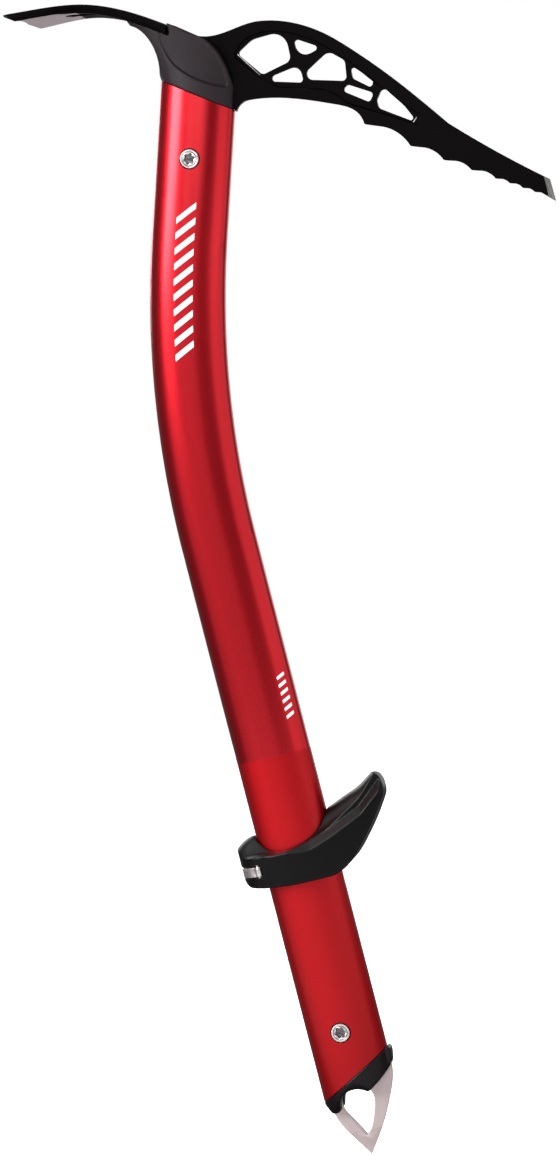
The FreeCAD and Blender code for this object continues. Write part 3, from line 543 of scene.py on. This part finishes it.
def chamfer_rest(point):
    """Moves a point of the hand rest onto the broad chamfer along the upper edge of its side."""
    growth = min(max((point.x - REST_EDGE[0][0]) / REST_CHAMFER_RUN, 0.0), 1.0)
    if growth > 0.0:
        half_width, height = rest_edge(point.x)
        inward = half_width - abs(point.y)
        depth = (REST_CHAMFER * growth - inward - (height - point.z)) / 2
        if depth > 0.0 and inward < REST_CHAMFER:
            point.y -= math.copysign(depth, point.y)
            point.z -= depth


shaft = eased("shaft_tube", "shaft", width=0.0003)
hand_over(shaft, "shaft_tube", "axe", "shaft")
smooth_shaft(shaft)
# The sunk rings round the bolt flanges get the near black of painted shadow.
bare_faces(shaft, "seat_shadow", is_flange_seat)

forged_head = eased("head_forging", "forged_head", width=0.0003)
hand_over(forged_head, "head_forging", "axe", "forged")
bare_faces(forged_head, "ground", is_pick_point)
flat_sides(forged_head)

adze = eased("adze_blade", "adze", width=0.0003, clamp=True)
hand_over(adze, "adze_blade", "axe", "forged")
bare_faces(adze, "bare", is_adze_underside)

spike = eased("spike_blade", "spike", width=0.00025)
hand_over(spike, "spike_blade", "axe", "blasted")
flat_sides(spike)

for side in ("near", "far"):
    cover = moulded(f"head_cover_{side}", f"cover_{side}", voxel=0.0004, passes=3)
    hand_over(cover, f"head_cover_{side}", "axe", "cover")

ferrule = moulded("spike_ferrule", "ferrule", voxel=0.0004, passes=4)
hand_over(ferrule, "spike_ferrule", "axe", "ferrule")

hand_rest = moulded("handrest_body", "hand_rest_shell", voxel=0.0005, passes=6, sculpt=chamfer_rest)
hand_over(hand_rest, "handrest_body", "hand_rest", "rest")

rest_lever = eased("handrest_lever", "rest_lever", width=0.00015)
hand_over(rest_lever, "handrest_lever", "lever", "lever")

for place in ("upper", "lower"):
    for part in ("barrel_nut", "screw"):
        node = f"{place}_{part}"
        bolt = eased(node, f"{node}_turned", width=0.00035, clamp=True)
        hand_over(bolt, node, "axe", "bolt")
        # The socket floors and walls get the darker steel of painted shade.
        bare_faces(bolt, "socket_shade", is_socket)

# The hidden pieces keep their CAD shape.
CARRIED_OVER = {
    "tang_sleeve": "packing",
    "spike_sleeve": "packing",
    "upper_foam_plug": "foam",
    "lower_foam_plug": "foam",
    "handrest_hinge_pin": "bolt",
    "handrest_spring": "blasted",
    "handrest_brake_pad": "pad",
}

for node, finish in CARRIED_OVER.items():
    for slot in NODES[node].material_slots:
        slot.link = "OBJECT"
        slot.material = FINISHES[finish]

# ---------------------------------------------------------------- floor, light and camera

TARGET = Vector((0.021545, 0.0, 0.229108))
FLOOR_GAP = 0.0002
BOUNCE_HEIGHT = 0.005
CAMERA_ANGLES = (11.0, 2.6, 14.42)
CAMERA_DISTANCE = 1.45

# Azimuth and elevation of each lamp in degrees, its distance, width and height, and its radiance.
LAMPS = {
    "key": (-44.0, 34.0, 1.6, 0.66, 1.0, 14.5),
    "front_left": (-1.0, 30.0, 1.2, 0.74, 0.9, 1.45),
    "overhead": (-60.0, 66.0, 1.5, 1.3, 1.3, 2.2),
    "front_wide": (-28.0, 2.0, 2.4, 3.6, 1.0, 0.36),
    "side": (82.0, 14.0, 0.62, 0.86, 0.46, 0.74),
    "side_low": (82.0, -13.0, 0.62, 0.86, 0.18, 0.6),
    "head_fill": (12.0, 24.0, 0.45, 0.13, 0.12, 0.9),
    "backdrop": (165.0, 3.0, 1.8, 1.4, 0.9, 1.0),
    "back_left": (216.0, 28.0, 1.9, 1.0, 1.0, 4.0),
    "back_right": (142.0, 24.0, 2.2, 0.9, 1.2, 1.2),
    "floor_bounce": (12.0, 0.0, 0.7, 2.0, 1.2, 0.85),
}


def pale_floor():
    """A round white floor just below the spike."""
    mesh = bpy.data.meshes.new("floor")
    work = bmesh.new()
    bmesh.ops.create_circle(work, cap_ends=True, segments=96, radius=2.6)
    work.to_mesh(mesh)
    work.free()
    floor = bpy.data.objects.new("floor", mesh)
    floor.location.z = CAD_BOX[0].z - FLOOR_GAP
    bpy.context.collection.objects.link(floor)
    finish = Finish("pale_floor", (0.9, 0.9, 0.9), 0.8, specular_ior_level=0.1)
    mesh.materials.append(finish.material)
    floor.visible_glossy = False
    finish.shader.inputs["Emission Color"].default_value = (1.0, 1.0, 1.0, 1.0)
    finish.shader.inputs["Emission Strength"].default_value = 0.8


def soft_box(name, azimuth, elevation, distance, width, height, radiance):
    """A rectangular studio lamp aimed at the object. Azimuth 0 is straight in front, + towards the pick."""
    light = bpy.data.lights.new(name, "AREA")
    light.shape = "RECTANGLE"
    light.size = width
    light.size_y = height
    light.energy = radiance * width * height * math.pi
    lamp = bpy.data.objects.new(name, light)
    turn, rise = math.radians(azimuth), math.radians(elevation)
    out = Vector((math.sin(turn) * math.cos(rise), -math.cos(turn) * math.cos(rise), math.sin(rise)))
    lamp.location = TARGET + out * distance
    lamp.rotation_mode = "QUATERNION"
    lamp.rotation_quaternion = out.to_track_quat("Z", "Y")
    lamp.visible_camera = False
    bpy.context.collection.objects.link(lamp)
    return lamp


def studio():
    """Soft lamps in a dim room, with a white background behind the object."""
    world = bpy.data.worlds.new("studio")
    world.use_nodes = True
    bpy.context.scene.world = world
    tree = world.node_tree
    backdrop = tree.nodes["Background"]
    backdrop.inputs["Color"].default_value = (1.0, 1.0, 1.0, 1.0)
    room = tree.nodes.new("ShaderNodeBackground")
    room.inputs["Color"].default_value = (0.15, 0.147, 0.15, 1.0)
    seen = tree.nodes.new("ShaderNodeLightPath")
    mix = tree.nodes.new("ShaderNodeMixShader")
    tree.links.new(seen.outputs["Is Camera Ray"], mix.inputs[0])
    tree.links.new(room.outputs[0], mix.inputs[1])
    tree.links.new(backdrop.outputs[0], mix.inputs[2])
    tree.links.new(mix.outputs[0], tree.nodes["World Output"].inputs["Surface"])
    lamps = {name: soft_box(name, *values) for name, values in LAMPS.items()}

    # The last one lies on the floor and shines upwards, as light that the floor throws back.
    bounce = lamps["floor_bounce"]
    bounce.location.z = CAD_BOX[0].z + BOUNCE_HEIGHT
    bounce.rotation_quaternion = Vector((0.0, 0.0, -1.0)).to_track_quat("Z", "Y")


def camera():
    """Almost level, a little to the pick side, rolled so that the axe leans."""
    azimuth, elevation, roll = (math.radians(angle) for angle in CAMERA_ANGLES)
    back = Vector((math.sin(azimuth) * math.cos(elevation), -math.cos(azimuth) * math.cos(elevation),
                   math.sin(elevation)))
    right = Vector((math.cos(azimuth), math.sin(azimuth), 0.0))
    up = back.cross(right)
    side = right * math.cos(roll) - up * math.sin(roll)
    top = right * math.sin(roll) + up * math.cos(roll)
    lens = bpy.data.cameras.new("camera")
    lens.lens = 106.3
    lens.sensor_width = 36.0
    lens.clip_start = 0.01
    lens.clip_end = 200.0
    eye = bpy.data.objects.new("camera", lens)
    turn = Matrix((side, top, back)).transposed().to_4x4()
    eye.matrix_world = Matrix.Translation(TARGET + back * CAMERA_DISTANCE) @ turn
    bpy.context.collection.objects.link(eye)
    bpy.context.scene.camera = eye


pale_floor()
studio()
camera()
bpy.context.scene.view_settings.view_transform = "Standard"
